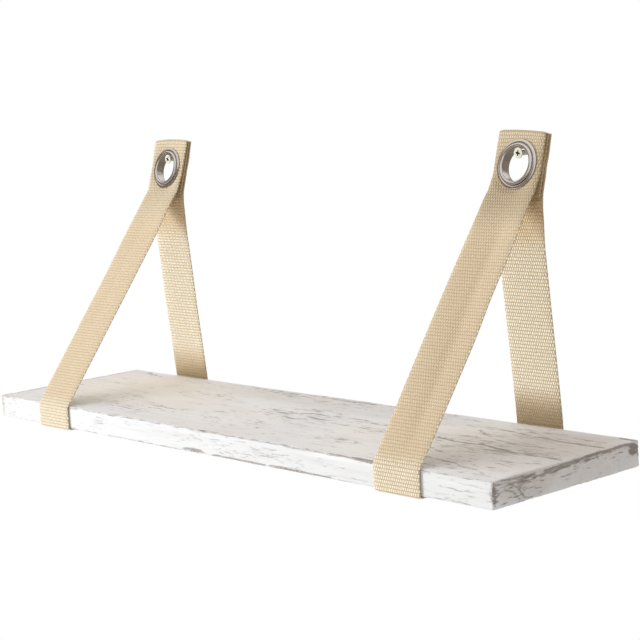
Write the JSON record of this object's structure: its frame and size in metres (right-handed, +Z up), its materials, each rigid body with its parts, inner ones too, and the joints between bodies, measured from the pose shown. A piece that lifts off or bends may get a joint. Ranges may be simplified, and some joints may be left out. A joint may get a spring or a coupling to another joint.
{
  "type": "hanging shelf",
  "caption": "Narrow wooden wall shelf carried by loops of flat webbing, each hung on a wall screw through a metal eyelet.",
  "frame": {"origin": "on the wall's face, midway between the axes of the two wall screws", "axes": "+X along the board, +Y into the wall, +Z up"},
  "size_m": [0.6, 0.1637, 0.2384],
  "materials": {
    "whitewashed_wood": "matt whitewash, worn at the edges",
    "webbing": "woven, matt, cream",
    "eyelet_metal": "nickel plated, polished",
    "screw_metal": "zinc plated"
  },
  "bodies": {
    "wall_screws": {"left_wall_screw": "screw_metal", "right_wall_screw": "screw_metal"},
    "left_hanger": {"left_strap": "webbing", "left_eyelet": "eyelet_metal", "left_eyelet_washer": "eyelet_metal"},
    "right_hanger": {"right_strap": "webbing", "right_eyelet": "eyelet_metal", "right_eyelet_washer": "eyelet_metal"},
    "shelf_board": {"board": "whitewashed_wood"}
  },
  "joints": [
    {"name": "left_hanger_swing", "type": "hinge", "parent": "wall_screws", "child": "left_hanger", "pos_m": [-0.21, -0.0074, 0.0023], "axis": [-1, 0, 0], "range_deg": [0, 25]},
    {"name": "right_hanger_swing", "type": "hinge", "parent": "wall_screws", "child": "right_hanger", "pos_m": [0.21, -0.0074, 0.0023], "axis": [-1, 0, 0], "range_deg": [0, 25]},
    {"name": "board_slide", "type": "slide", "parent": "left_hanger", "child": "shelf_board", "axis": [1, 0, 0], "range_m": [-0.06, 0.06]}
  ],
  "couplings": [
    {"joint": "right_hanger_swing", "follows": "left_hanger_swing", "ratio": 1}
  ]
}
